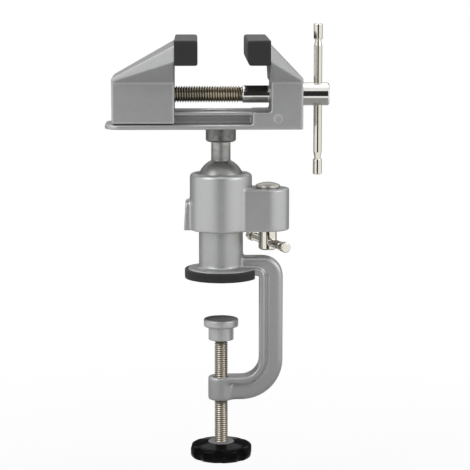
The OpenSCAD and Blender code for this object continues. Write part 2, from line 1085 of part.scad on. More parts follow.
// Bed casting: plate, rail, foot and fixed jaw
module vise_bed() {
    color(casting_grey)
        difference() {
            union() {
                translate([0, 0, bed_bottom])
                    linear_extrude(height = plate_height)
                        plate_plan();
                translate([-rail_left, -rail_web / 2, plate_top - bite])
                    cube([rail_left + foot_start + bite, rail_web, web_height + 2 * bite]);
                translate([-rail_left, -rail_width / 2, rail_neck])
                    cube([rail_left + foot_start + bite, rail_width, rail_height]);
                translate([foot_start, -body_half, bed_bottom])
                    cube([bed_right - foot_start, bed_width, rail_top - bed_bottom]);
                translate([fixed_face, 0, 0])
                    mirror([1, 0, 0])
                        jaw_block(
                            fixed_length,
                            crease_level + fixed_back_rise,
                            bed_bottom,
                            face_setback
                        );
            }
            bolt_pocket();
            rod_z(bolt_radius + bolt_play, bed_bottom - over, pocket_floor + over);
            rod_x(shank_radius + fit, fixed_face - over, bed_right + over, screw_level);
            translate([keeper_x, 0, 0])
                rod_z(keeper_radius + press, bed_bottom - over, screw_level);
            translate([fixed_face + mark_x, mark_depth - body_half, bed_bottom + mark_z])
                rotate([90, 0, 0])
                    cylinder(r = mark_diameter / 2, h = mark_depth + over);
        }
}

// Cover of the fixed jaw's lip
module fixed_jaw_cover() {
    translate([fixed_face, 0, 0])
        mirror([1, 0, 0])
            jaw_cover(cover_bevel);
}

// Screw that keeps the jaw screw in the fixed jaw
module screw_keeper() {
    color(bright_steel)
        translate([keeper_x, 0, 0])
            difference() {
                rod_z(keeper_radius, bed_bottom + keeper_recess, keeper_tip);
                translate([0, 0, bed_bottom + keeper_recess - over])
                    cylinder(r = keeper_radius / 2, h = keeper_radius + over, $fn = 6);
            }
}

// Moving jaw casting, hooked under the rail's head
module moving_jaw() {
    low = plate_top + jaw_lift;
    color(casting_grey)
        difference() {
            translate([moving_face, 0, 0])
                jaw_block(moving_length, crease_level + moving_back_rise, low, 0);
            translate([moving_back - over, -rail_web / 2 - slot_play, low - over])
                cube([moving_length + 2 * over, rail_web + 2 * slot_play, rail_neck - low + 2 * over]);
            translate([moving_back - over, -rail_width / 2 - slot_play, rail_neck - slot_play])
                cube([
                    moving_length + 2 * over,
                    rail_width + 2 * slot_play,
                    rail_height + 2 * slot_play
                ]);
            rod_x(shank_radius + bolt_play, moving_back - over, moving_face, screw_level);
            rod_x(nut_radius + press, moving_face - nut_length, moving_face + over, screw_level);
        }
}

// Cover of the moving jaw's lip
module moving_jaw_cover() {
    translate([moving_face, 0, 0])
        jaw_cover(cover_edge);
}

// Nut pressed into the moving jaw
module jaw_nut() {
    color(thread_steel)
        difference() {
            rod_x(nut_radius, moving_face - nut_length, moving_face, screw_level);
            rod_x(jaw_thread_radius + fit, moving_back, moving_face + over, screw_level);
        }
}

// Flat outline of the plain shank with its rounded shoulder and head
module shank_outline() {
    head_start = bed_right + fit - thread_end;
    head_end = head_start + head_length;
    square([shank_radius - shank_round, head_start + bite]);
    translate([0, shank_round])
        square([shank_radius, head_start + bite - shank_round]);
    translate([shank_radius - shank_round, shank_round])
        circle(r = shank_round);
    points = [
        [0, head_start],
        [head_radius, head_start],
        [head_radius, head_end - head_bevel],
        [head_radius - head_bevel, head_end],
        [0, head_end]
    ];
    polygon(points);
}

// Jaw screw: thread, plain shank and head with a cross hole
module jaw_screw() {
    start = thread_end - jaw_rings * jaw_pitch;
    color(bright_steel)
        difference() {
            translate([0, 0, screw_level])
                rotate([0, 90, 0]) {
                    translate([0, 0, start])
                        thread(jaw_thread_radius, jaw_pitch, jaw_rings);
                    translate([0, 0, thread_end - bite])
                        cylinder(r = jaw_thread_radius - thread_depth, h = 2 * bite);
                    translate([0, 0, thread_end])
                        rotate_extrude()
                            shank_outline();
                }
            translate([bar_x, 0, 0])
                rod_z(bar_radius + fit, screw_level - 2 * head_radius, screw_level + 2 * head_radius);
            translate([keeper_x - keeper_radius - fit, 0, screw_level])
                rotate([0, 90, 0])
                    difference() {
                        cylinder(r = shank_radius + over, h = 2 * (keeper_radius + fit));
                        cylinder(r = groove_radius, h = 2 * (keeper_radius + fit));
                    }
        }
}

// Turning bar of the jaw screw
module jaw_bar() {
    color(bright_steel)
        translate([bar_x, 0, screw_level])
            bar_rod(bar_radius, -bar_down, bar_up, end_length, neck_length);
}

// End pieces of the jaw screw's bar
module jaw_bar_ends() {
    color(bright_steel)
        translate([bar_x, 0, screw_level])
            bar_ends(bar_radius + end_step, -bar_down, bar_up, end_length);
}

// Steel bushing in the side boss
module lock_bushing() {
    color(thread_steel)
        translate([lock_offset, 0, 0])
            difference() {
                rod_z(side_bore - press, side_bottom, bushing_top);
                rod_z(lock_thread_radius + fit, side_bottom - over, bushing_top + over);
            }
}

// Lock screw with its head and cross hole
module lock_screw() {
    points = [
        [0, lock_head_bottom],
        [lock_head_radius - head_bevel, lock_head_bottom],
        [lock_head_radius, lock_head_bottom + head_bevel],
        [lock_head_radius, side_bottom],
        [lock_thread_radius, side_bottom],
        [lock_thread_radius, screw_top - head_bevel],
        [lock_thread_radius - head_bevel, screw_top],
        [0, screw_top]
    ];
    color(bright_steel)
        translate([lock_offset, 0, 0])
            difference() {
                rotate_extrude()
                    polygon(points);
                translate([0, 0, lock_bar_level])
                    rotate([0, 0, lock_bar_angle])
                        rod_x(lock_bar_radius + fit, -2 * lock_head_radius, 2 * lock_head_radius, 0);
            }
}

// Domed cap with the wedge that pushes the shoe
module lock_cap() {
    color(bright_steel)
        translate([lock_offset, 0, 0])
            difference() {
                union() {
                    intersection() {
                        translate([0, 0, dome_level + dome_height - dome_sphere])
                            sphere(r = dome_sphere);
                        rod_z(dome_radius, dome_level, dome_level + dome_height);
                    }
                    rod_z(cap_radius, cap_bottom + cone_height, dome_level + bite);
                    translate([0, 0, cap_bottom])
                        cylinder(r1 = cap_cone_low, r2 = cap_radius, h = cone_height);
                }
                rod_z(lock_thread_radius + fit, cap_bottom - over, screw_top + over);
            }
}

// Shoe between the wedge and the ball seat
module lock_shoe() {
    reach = shoe_end - ball_radius;
    points = [
        [0, shoe_level - shoe_radius - over],
        [shoe_end, shoe_level - shoe_radius - over],
        [shoe_end, shoe_slope - shoe_end],
        [shoe_end - reach, shoe_slope - shoe_end + reach],
        [0, shoe_slope - shoe_end + reach]
    ];
    color(thread_steel)
        difference() {
            intersection() {
                rod_x(shoe_radius, 0, shoe_end, shoe_level);
                stand(2 * shoe_radius + over)
                    polygon(points);
            }
            rod_z(ball_radius + 2 * fit, shoe_level - 2 * shoe_radius, shoe_level + 2 * shoe_radius);
        }
}

// Places a bar in the lock screw's head
module in_lock_head() {
    translate([lock_offset, 0, lock_bar_level])
        rotate([0, 90, lock_bar_angle])
            children();
}

// Turning bar of the lock screw
module lock_bar() {
    half = lock_bar_length / 2;
    color(bright_steel)
        in_lock_head()
            bar_rod(lock_bar_radius, -half, half, lock_end_length, lock_neck_length);
}

// End pieces of the lock screw's bar
module lock_bar_ends() {
    half = lock_bar_length / 2;
    color(bright_steel)
        in_lock_head()
            bar_ends(lock_bar_radius + lock_end_step, -half, half, lock_end_length);
}

// Clamp screw with its ball tip
module clamp_screw() {
    thread_bottom = clamp_thread_top - clamp_rings * clamp_pitch;
    color(thread_steel)
        union() {
            translate([0, 0, thread_bottom])
                thread(clamp_thread_radius, clamp_pitch, clamp_rings);
            rod_z(clamp_thread_radius - thread_depth, insert_top - insert_depth, thread_bottom + bite);
            rod_z(tip_neck_radius, clamp_thread_top - bite, tip_level);
            translate([0, 0, tip_level])
                sphere(r = tip_radius);
        }
}

// Grey insert that holds the screw in the knob
module knob_insert() {
    color(insert_grey)
        difference() {
            rod_z(insert_radius, insert_top - insert_depth, insert_top);
            rod_z(
                clamp_thread_radius - thread_depth + press,
                insert_top - insert_depth - over,
                insert_top + over
            );
        }
}

// Flat plan of the knob: lobes between shallow flutes
module knob_plan() {
    difference() {
        circle(r = knob_radius);
        for (i = [0 : knob_lobes - 1])
            rotate([0, 0, (i + 0.5) * lobe_step + front_turn])
                translate([flute_centre, 0])
                    circle(r = flute_radius);
    }
}

// Flat outline of the knob's turned rim and the low cone on its top
module knob_outline() {
    points = [
        [0, knob_height - over],
        [crown_radius, knob_height - over],
        [crown_radius, knob_height],
        [insert_radius + crown_margin, knob_height + crown_rise],
        [0, knob_height + crown_rise]
    ];
    polygon(points);
    translate([0, knob_rim])
        square([knob_radius, knob_height - 2 * knob_rim]);
    square([knob_radius - knob_rim, knob_height]);
    for (level = [knob_rim, knob_height - knob_rim])
        translate([knob_radius - knob_rim, level])
            circle(r = knob_rim);
}

// Lobed knob on the clamp screw
module clamp_knob() {
    color(knob_black)
        difference() {
            translate([0, 0, knob_bottom])
                intersection() {
                    linear_extrude(height = knob_height + crown_rise)
                        knob_plan();
                    rotate_extrude()
                        knob_outline();
                }
            rod_z(insert_radius + press, insert_top - insert_depth, insert_top + over);
            rod_z(dish_radius, knob_bottom - over, knob_bottom + dish_depth);
        }
}

// Ring that holds the ball tip in the clamp pad
module pad_retainer() {
    color(bright_steel)
        difference() {
            rod_z(ring_radius, ring_bottom, ring_top);
            rod_z(ring_hole, ring_bottom - over, ring_top + over);
        }
}

// Clamp pad: disc and sleeve with a socket for the ball tip
module clamp_pad() {
    points = [
        [0, pad_face],
        [disc_radius - cover_edge, pad_face],
        [disc_radius, pad_face - cover_edge],
        [disc_radius, disc_bottom + cover_edge],
        [disc_radius - cover_edge, disc_bottom],
        [sleeve_radius, disc_bottom],
        [sleeve_radius, sleeve_bottom],
        [0, sleeve_bottom]
    ];
    color(casting_grey)
        difference() {
            rotate_extrude()
                polygon(points);
            translate([0, 0, tip_level])
                sphere(r = tip_radius + fit);
            rod_z(tip_radius + fit, ring_top, tip_level);
            rod_z(ring_radius + tilt_play, ring_bottom - tilt_play, ring_top + tilt_play);
            rod_z(clamp_thread_radius + tilt_play, sleeve_bottom - over, ring_bottom);
        }
}

clamp_frame();
bench_pad();
socket_housing();
retainer_screw();
ball_seat();
ball_stud();
head_bolt();
head_washer();
vise_bed();
fixed_jaw_cover();
screw_keeper();
moving_jaw();
moving_jaw_cover();
jaw_nut();
jaw_screw();
jaw_bar();
jaw_bar_ends();
lock_bushing();
lock_screw();
lock_cap();
lock_shoe();
lock_bar();
lock_bar_ends();
clamp_screw();
knob_insert();
clamp_knob();
pad_retainer();
clamp_pad();
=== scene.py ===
# %% [markdown]
# # A swivel precision vise
# The object is a small bench vise. Two jaws run on a cast bed, a ball under the bed lets the whole head
# tilt and turn, and a screw clamp holds everything on the edge of a bench.
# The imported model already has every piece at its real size. This script keeps it as a fixed frame and
# gives each piece its finished shape and surface, so nothing here moves or resizes a piece.

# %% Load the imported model
import bpy
import bmesh
import json
import math
from mathutils import Matrix, Vector


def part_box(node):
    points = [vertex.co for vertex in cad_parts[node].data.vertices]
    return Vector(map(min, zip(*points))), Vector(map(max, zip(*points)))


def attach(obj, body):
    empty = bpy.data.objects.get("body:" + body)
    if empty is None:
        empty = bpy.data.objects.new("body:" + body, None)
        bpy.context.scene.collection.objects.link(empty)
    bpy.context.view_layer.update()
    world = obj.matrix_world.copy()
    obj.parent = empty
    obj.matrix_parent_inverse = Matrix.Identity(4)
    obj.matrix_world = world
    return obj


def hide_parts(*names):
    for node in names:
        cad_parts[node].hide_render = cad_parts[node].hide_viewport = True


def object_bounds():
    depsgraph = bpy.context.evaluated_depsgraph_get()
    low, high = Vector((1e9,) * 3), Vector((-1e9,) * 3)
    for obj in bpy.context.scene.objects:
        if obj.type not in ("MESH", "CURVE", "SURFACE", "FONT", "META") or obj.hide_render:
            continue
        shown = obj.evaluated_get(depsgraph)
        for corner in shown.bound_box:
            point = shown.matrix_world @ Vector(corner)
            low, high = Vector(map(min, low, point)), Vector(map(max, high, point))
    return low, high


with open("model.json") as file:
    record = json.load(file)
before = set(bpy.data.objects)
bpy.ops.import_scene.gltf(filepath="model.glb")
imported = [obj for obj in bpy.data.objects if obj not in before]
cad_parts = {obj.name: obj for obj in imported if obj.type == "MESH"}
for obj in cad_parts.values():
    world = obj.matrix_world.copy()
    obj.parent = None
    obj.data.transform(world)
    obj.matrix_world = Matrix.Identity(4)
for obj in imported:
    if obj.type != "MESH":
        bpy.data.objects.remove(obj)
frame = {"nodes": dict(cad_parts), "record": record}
cad_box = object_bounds()
MM = 0.001
scene = bpy.context.scene
scene.view_settings.view_transform = "Standard"

# %% [markdown]
# ## Where the camera stands
# The photograph was taken with a long lens from about a metre away, a little above the vise.
# The place and the two angles below were worked out from where known corners of the vise lie in it.

# %% Camera
camera_place = Vector((-15.3, -1069, 187.9)) * MM
camera_down = math.radians(8.66)
camera_right = math.radians(1.26)
focal_pixels = 1850.9
photo_pixels = 470
sensor_width = 36

lens = bpy.data.cameras.new("camera")
lens.sensor_width = sensor_width
lens.lens = focal_pixels / photo_pixels * sensor_width
camera = bpy.data.objects.new("camera", lens)
camera.location = camera_place
camera.rotation_euler = (math.radians(90) - camera_down, 0, -camera_right)
scene.collection.objects.link(camera)
scene.camera = camera
print("lens:", round(lens.lens, 1), "mm")

# %% [markdown]
# ## Small helpers for shader nodes
# Every material below is a tree of nodes. These helpers add a node, set its values and join sockets,
# so that each recipe stays short enough to read.

# %% Node helpers
def add_node(tree, kind, values=None, **settings):
    made = tree.nodes.new(kind)
    for name, value in settings.items():
        setattr(made, name, value)
    for socket, value in (values or {}).items():
        made.inputs[socket].default_value = value
    return made


def join(tree, source, target):
    tree.links.new(source, target)


def calculate(tree, operation, first, second=None, clamp=False):
    made = add_node(tree, "ShaderNodeMath", operation=operation, use_clamp=clamp)
    for index, value in enumerate((first, second)):
        if value is None:
            continue
        if isinstance(value, (int, float)):
            made.inputs[index].default_value = value
        else:
            join(tree, value, made.inputs[index])
    return made.outputs[0]


def mix_colour(tree, share, first, second):
    made = add_node(tree, "ShaderNodeMix", data_type="RGBA")
    for name, value in (("Factor_Float", share), ("A_Color", first), ("B_Color", second)):
        socket = next(s for s in made.inputs if s.identifier == name)
        if isinstance(value, tuple):
            socket.default_value = value
        else:
            join(tree, value, socket)
    return next(s for s in made.outputs if s.identifier == "Result_Color")


def spread(tree, value, low, high):
    made = add_node(tree, "ShaderNodeMapRange", {"To Min": low, "To Max": high})
    join(tree, value, made.inputs["Value"])
    return made.outputs["Result"]


def new_group(name, inputs, outputs):
    group = bpy.data.node_groups.new(name, "ShaderNodeTree")
    for label, value in inputs.items():
        kind = "NodeSocketVector" if isinstance(value, tuple) else "NodeSocketFloat"
        socket = group.interface.new_socket(label, in_out="INPUT", socket_type=kind)
        socket.default_value = value
    for label in outputs:
        group.interface.new_socket(label, in_out="OUTPUT", socket_type="NodeSocketFloat")
    entry = add_node(group, "NodeGroupInput")
    leave = add_node(group, "NodeGroupOutput")
    return group, entry.outputs, leave.inputs


def place_group(tree, group, **values):
    made = add_node(tree, "ShaderNodeGroup", node_tree=group)
    for label, value in values.items():
        made.inputs[label].default_value = value
    return made.outputs


def rgb(red, green=None, blue=None):
    return (red, red if green is None else green, red if blue is None else blue, 1)


# %% [markdown]
# ## The studio
# The photograph has a pure white background. The floor is a very large pale sheet, so the camera sees
# nothing else. The world lights the object evenly, and it looks plain white to the camera and in metal.

# %% World
ambient_strength = 0.62

world = bpy.data.worlds.new("studio_air")
world.use_nodes = True
scene.world = world
air = world.node_tree
air.nodes.clear()
ray = add_node(air, "ShaderNodeLightPath").outputs
seen = calculate(air, "MAXIMUM", ray["Is Camera Ray"], ray["Is Glossy Ray"])
seen = calculate(air, "MAXIMUM", seen, ray["Is Transmission Ray"])
ambient = add_node(air, "ShaderNodeBackground", {"Color": rgb(1), "Strength": ambient_strength})
white = add_node(air, "ShaderNodeBackground", {"Color": rgb(1), "Strength": 1.0})
choice = add_node(air, "ShaderNodeMixShader")
join(air, seen, choice.inputs["Fac"])
join(air, ambient.outputs[0], choice.inputs[1])
join(air, white.outputs[0], choice.inputs[2])
join(air, choice.outputs[0], add_node(air, "ShaderNodeOutputWorld").inputs["Surface"])
print("world: ambient", ambient_strength)

# %% [markdown]
# The floor has to be white to the camera and still hold the soft shadow of the vise. Its material mixes
# a plain white glow, seen by the camera and by metal alone, with an ordinary pale surface. Close to the
# vise the surface shows through and holds the shadow; further away only the white is left.
# The vise hangs from a bench, so the floor lies below the lowest place that its knob can reach.

# %% Floor
floor_size = 80.0
joints_of = {row["name"]: row for row in frame["record"]["behaviour"]["joints"]}
knob_travel = -joints_of["clamp_travel"]["range_m"][0]
knob_clearance = 1 * MM
floor_gap = knob_travel + knob_clearance
glow_near_share = 0.75
glow_starts = 0.08
glow_full = 0.40


def object_from(name, form):
    mesh = bpy.data.meshes.new(name)
    form.to_mesh(mesh)
    form.free()
    made = bpy.data.objects.new(name, mesh)
    scene.collection.objects.link(made)
    return made


def floor_material():
    made = bpy.data.materials.new("pale_floor")
    made.use_nodes = True
    tree = made.node_tree
    tree.nodes.clear()
    matte = add_node(tree, "ShaderNodeBsdfPrincipled", {"Base Color": rgb(0.9), "Roughness": 0.9})
    matte.inputs["Specular IOR Level"].default_value = 0.1
    glow = add_node(tree, "ShaderNodeEmission", {"Color": rgb(1), "Strength": 1.0})
    light = add_node(tree, "ShaderNodeLightPath").outputs
    seen = calculate(tree, "MAXIMUM", light["Is Camera Ray"], light["Is Glossy Ray"])
    seen = calculate(tree, "MAXIMUM", seen, light["Is Transmission Ray"])
    level = add_node(tree, "ShaderNodeVectorMath", {1: (1.0, 1.0, 0.0)}, operation="MULTIPLY")
    join(tree, add_node(tree, "ShaderNodeTexCoord").outputs["Object"], level.inputs[0])
    away = add_node(tree, "ShaderNodeVectorMath", operation="LENGTH")
    join(tree, level.outputs[0], away.inputs[0])
    limits = {"From Min": glow_starts, "From Max": glow_full, "To Min": glow_near_share, "To Max": 1.0}
    fade = add_node(tree, "ShaderNodeMapRange", limits)
    join(tree, away.outputs["Value"], fade.inputs["Value"])
    share = calculate(tree, "MULTIPLY", seen, fade.outputs["Result"])
    both = add_node(tree, "ShaderNodeMixShader")
    join(tree, share, both.inputs["Fac"])
    join(tree, matte.outputs[0], both.inputs[1])
    join(tree, glow.outputs[0], both.inputs[2])
    join(tree, both.outputs[0], add_node(tree, "ShaderNodeOutputMaterial").inputs["Surface"])
    return made


sheet = bmesh.new()
bmesh.ops.create_grid(sheet, x_segments=1, y_segments=1, size=floor_size / 2)
bmesh.ops.translate(sheet, verts=sheet.verts, vec=(0, 0, cad_box[0].z - floor_gap))
floor = object_from("floor", sheet)
floor.data.materials.append(floor_material())
print("floor at", round((cad_box[0].z - floor_gap) / MM, 1), "mm")

# %% [markdown]
# Polished metal only looks like metal when it has something dark to mirror. A photographer puts black
# boards beside the lamps for that. These boards are curved strips round the vise that only mirrored
# light can see: they cast no shadow and the camera looks straight through them. Each row below gives a
# board's middle and half width in degrees round the vise, its nearest edge, its height and its shade.
# The last one has no height: it is a flat ring under the vise.

# %% Dark boards
board_radius = 2.2
board_steps = 24
boards = (
    ("board_front", 0, 19, 0.66, 1.55, 0.03),
    ("board_left", -132, 20, 0.42, 0.95, 0.30),
    ("board_right", 132, 20, 0.42, 0.95, 0.30),
    ("board_back", 180, 28, 0.42, 0.95, 0.05),
    ("board_ground", 0, 180, 0.02, None, 0.34),
)
ground_board_radius = 0.30
board_lift = 2 * MM


def board(name, middle, half_width, nearest, height, shade):
    form = bmesh.new()
    ground = cad_box[0].z + board_lift
    rows = []
    for step in range(board_steps + 1):
        angle = math.radians(middle + half_width * (2 * step / board_steps - 1) - 90)
        away = Vector((math.cos(angle), math.sin(angle), 0))
        places = [
            (away * nearest, ground),
            (away * board_radius, ground),
            (away * board_radius, height),
        ]
        if height is None:
            places = [(away * nearest, ground), (away * ground_board_radius, ground)]
        rows.append([form.verts.new(place + Vector((0, 0, level))) for place, level in places])
    for before, after in zip(rows, rows[1:]):
        for lower in range(len(before) - 1):
            form.faces.new((before[lower], after[lower], after[lower + 1], before[lower + 1]))
    made = object_from(name, form)
    paint = bpy.data.materials.new(name)
    paint.use_nodes = True
    paint.node_tree.nodes.clear()
    flat = add_node(paint.node_tree, "ShaderNodeEmission", {"Color": rgb(shade), "Strength": 1.0})
    out = add_node(paint.node_tree, "ShaderNodeOutputMaterial")
    join(paint.node_tree, flat.outputs[0], out.inputs["Surface"])
    made.data.materials.append(paint)
    made.visible_camera = False
    made.visible_diffuse = False
    made.visible_shadow = False
    made.visible_transmission = False


for row in boards:
    board(*row)
print("boards:", len(boards))

# %% [markdown]
# Three soft lamps give shape to the even light: one high on the left, one on the right and one above.
# Their power is chosen so that a surface renders about as bright as its colour is written.

# %% Lamps
lamps = (
    ("lamp_left", (-1.5, -1.1, 1.3), 1.0, 11.0),
    ("lamp_right", (1.6, -0.9, 0.9), 0.8, 7.0),
    ("lamp_top", (0.1, 0.3, 1.7), 1.2, 9.0),
)
lamp_aim = Vector((0, 0, 60)) * MM

for name, place, width, power in lamps:
    lamp = bpy.data.lights.new(name, "AREA")
    lamp.shape = "SQUARE"
    lamp.size = width
    lamp.energy = power
    holder = bpy.data.objects.new(name, lamp)
    holder.location = place
    holder.rotation_euler = (lamp_aim - Vector(place)).to_track_quat("-Z", "Y").to_euler()
    holder.visible_camera = False
    scene.collection.objects.link(holder)
print("lamps:", [row[0] for row in lamps])

# %% [markdown]
# ## Effects that several finishes share
# Casting grain, worn edges that also carry painted highlights, settled dust that also gives the painted
# shade on the pad's top, fine flakes in paint, turned lines, a moulded ring and a change of tone each
# become one node group with named inputs. A material places the group and gives it its own values.
# The edge mask is stored on each piece's mesh by the shaping helpers further down.

# %% Shared effect: grain
grain_group, grain_in, grain_out = new_group(
    "cast_grain", {"Scale": 900.0, "Detail": 3.0}, ("Height", "Mottle")
)
where = add_node(grain_group, "ShaderNodeTexCoord").outputs["Object"]
fine = add_node(grain_group, "ShaderNodeTexNoise", {"Roughness": 0.6})
broad = add_node(grain_group, "ShaderNodeTexNoise", {"Detail": 2.0})
join(grain_group, where, fine.inputs["Vector"])
join(grain_group, where, broad.inputs["Vector"])
join(grain_group, grain_in["Scale"], fine.inputs["Scale"])
join(grain_group, grain_in["Detail"], fine.inputs["Detail"])
join(grain_group, calculate(grain_group, "MULTIPLY", grain_in["Scale"], 0.2), broad.inputs["Scale"])
join(grain_group, fine.outputs["Fac"], grain_out["Height"])
join(grain_group, broad.outputs["Fac"], grain_out["Mottle"])
print("group:", grain_group.name)

# %% Shared effect: worn edges, also painted highlights
edge_wear_and_highlight_group, edge_wear_and_highlight_in, edge_wear_and_highlight_out = new_group(
    "worn_and_highlit_edges", {"Amount": 1.0, "Scale": 260.0}, ("Mask",)
)
edge = add_node(edge_wear_and_highlight_group, "ShaderNodeAttribute", attribute_name="edge")
where = add_node(edge_wear_and_highlight_group, "ShaderNodeTexCoord").outputs["Object"]
patches = add_node(edge_wear_and_highlight_group, "ShaderNodeTexNoise", {"Detail": 3.0})
join(edge_wear_and_highlight_group, where, patches.inputs["Vector"])
join(edge_wear_and_highlight_group, edge_wear_and_highlight_in["Scale"], patches.inputs["Scale"])
broken = spread(edge_wear_and_highlight_group, patches.outputs["Fac"], -0.6, 1.8)
mask = calculate(edge_wear_and_highlight_group, "MULTIPLY", edge.outputs["Fac"], broken, clamp=True)
worn_and_highlit = calculate(edge_wear_and_highlight_group, "MULTIPLY", mask, edge_wear_and_highlight_in["Amount"], clamp=True)
join(edge_wear_and_highlight_group, worn_and_highlit, edge_wear_and_highlight_out["Mask"])
print("group:", edge_wear_and_highlight_group.name)

# %% Shared effect: settled dust, also painted shade on upward faces
dust_and_top_shade_group, dust_and_top_shade_in, dust_and_top_shade_out = new_group("settled_dust_and_top_shade", {"Amount": 0.3, "Scale": 140.0}, ("Mask",))
texture = add_node(dust_and_top_shade_group, "ShaderNodeTexCoord").outputs
parts = add_node(dust_and_top_shade_group, "ShaderNodeSeparateXYZ")
clouds = add_node(dust_and_top_shade_group, "ShaderNodeTexNoise", {"Detail": 5.0, "Roughness": 0.65})
join(dust_and_top_shade_group, texture["Normal"], parts.inputs[0])
join(dust_and_top_shade_group, texture["Object"], clouds.inputs["Vector"])
join(dust_and_top_shade_group, dust_and_top_shade_in["Scale"], clouds.inputs["Scale"])
upward = calculate(dust_and_top_shade_group, "MAXIMUM", parts.outputs["Z"], 0.0)
cloudy = calculate(dust_and_top_shade_group, "MULTIPLY", upward, clouds.outputs["Fac"])
join(dust_and_top_shade_group, calculate(dust_and_top_shade_group, "MULTIPLY", cloudy, dust_and_top_shade_in["Amount"]), dust_and_top_shade_out["Mask"])
print("group:", dust_and_top_shade_group.name)

# %% Shared effect: metal flakes in paint
flake_group, flake_in, flake_out = new_group("paint_flakes", {"Scale": 3800.0}, ("Glint",))
where = add_node(flake_group, "ShaderNodeTexCoord").outputs["Object"]
cells = add_node(flake_group, "ShaderNodeTexVoronoi")
join(flake_group, where, cells.inputs["Vector"])
join(flake_group, flake_in["Scale"], cells.inputs["Scale"])
channel = add_node(flake_group, "ShaderNodeSeparateColor")
join(flake_group, cells.outputs["Color"], channel.inputs[0])
join(flake_group, channel.outputs[0], flake_out["Glint"])
print("group:", flake_group.name)

# %% Shared effect: turned lines
line_group, line_in, line_out = new_group(
    "turned_lines", {"Stretch": (60.0, 60.0, 2400.0)}, ("Height", "Smudge")
)
where = add_node(line_group, "ShaderNodeTexCoord").outputs["Object"]
along = add_node(line_group, "ShaderNodeVectorMath", operation="MULTIPLY")
lines = add_node(line_group, "ShaderNodeTexNoise", {"Scale": 1.0, "Detail": 2.0})
smudge = add_node(line_group, "ShaderNodeTexNoise", {"Scale": 150.0, "Detail": 4.0})
join(line_group, where, along.inputs[0])
join(line_group, line_in["Stretch"], along.inputs[1])
join(line_group, along.outputs[0], lines.inputs["Vector"])
join(line_group, where, smudge.inputs["Vector"])
join(line_group, lines.outputs["Fac"], line_out["Height"])
join(line_group, smudge.outputs["Fac"], line_out["Smudge"])
print("group:", line_group.name)

# %% Shared effect: a ring that a mould pin left
ring_group, ring_in, ring_out = new_group(
    "ring_mark", {"Centre": (0.0, 0.0, 0.0), "Radius": 2.35 * MM, "Width": 0.5 * MM}, ("Mask",)
)
where = add_node(ring_group, "ShaderNodeTexCoord").outputs["Object"]
apart = add_node(ring_group, "ShaderNodeVectorMath", operation="DISTANCE")
join(ring_group, where, apart.inputs[0])
join(ring_group, ring_in["Centre"], apart.inputs[1])
off = calculate(ring_group, "SUBTRACT", apart.outputs["Value"], ring_in["Radius"])
off = calculate(ring_group, "DIVIDE", calculate(ring_group, "ABSOLUTE", off), ring_in["Width"])
join(ring_group, calculate(ring_group, "SUBTRACT", 1.0, off, clamp=True), ring_out["Mask"])
print("group:", ring_group.name)

# %% Shared effect: a change of tone along an axis
tone_group, tone_in, tone_out = new_group(
    "tone_along", {"Axis": (0.0, 0.0, 1.0), "Start": 0.0, "Finish": 0.01}, ("Mask",)
)
where = add_node(tone_group, "ShaderNodeTexCoord").outputs["Object"]
level = add_node(tone_group, "ShaderNodeVectorMath", operation="DOT_PRODUCT")
join(tone_group, where, level.inputs[0])
join(tone_group, tone_in["Axis"], level.inputs[1])
change = add_node(tone_group, "ShaderNodeMapRange")
join(tone_group, level.outputs["Value"], change.inputs["Value"])
join(tone_group, tone_in["Start"], change.inputs["From Min"])
join(tone_group, tone_in["Finish"], change.inputs["From Max"])
join(tone_group, change.outputs["Result"], tone_out["Mask"])
print("group:", tone_group.name)

# %% [markdown]
# ## The finishes
# A recipe is a function, because several pieces share a kind of finish with other colours. Values that
# are the same all over a surface sit on the shader's own sockets. What changes over the surface comes
# from the groups above.

# %% A shader ready for a recipe
def start_material(name, **constants):
    made = bpy.data.materials.new(name)
    made.use_nodes = True
    tree = made.node_tree
    tree.nodes.clear()
    shader = add_node(tree, "ShaderNodeBsdfPrincipled")
    for label, value in constants.items():
        shader.inputs[label.replace("_", " ")].default_value = value
    out = add_node(tree, "ShaderNodeOutputMaterial")
    join(tree, shader.outputs[0], out.inputs["Surface"])
    return made, tree, shader.inputs


def add_bump(tree, sockets, height, depth_mm):
    bump = add_node(tree, "ShaderNodeBump", {"Strength": 1.0, "Distance": depth_mm * MM})
    join(tree, height, bump.inputs["Height"])
    join(tree, bump.outputs[0], sockets["Normal"])


# %% [markdown]
# The castings have a satin silver-grey paint with fine metal flakes. The surface under it is slightly
# rough from the mould, and handled edges are painted a little brighter, partly as wear and partly as a
# painted highlight. The bed's foot has a round mark from a mould pin. The clamp pad's top face is painted
# darker, as painted shade.

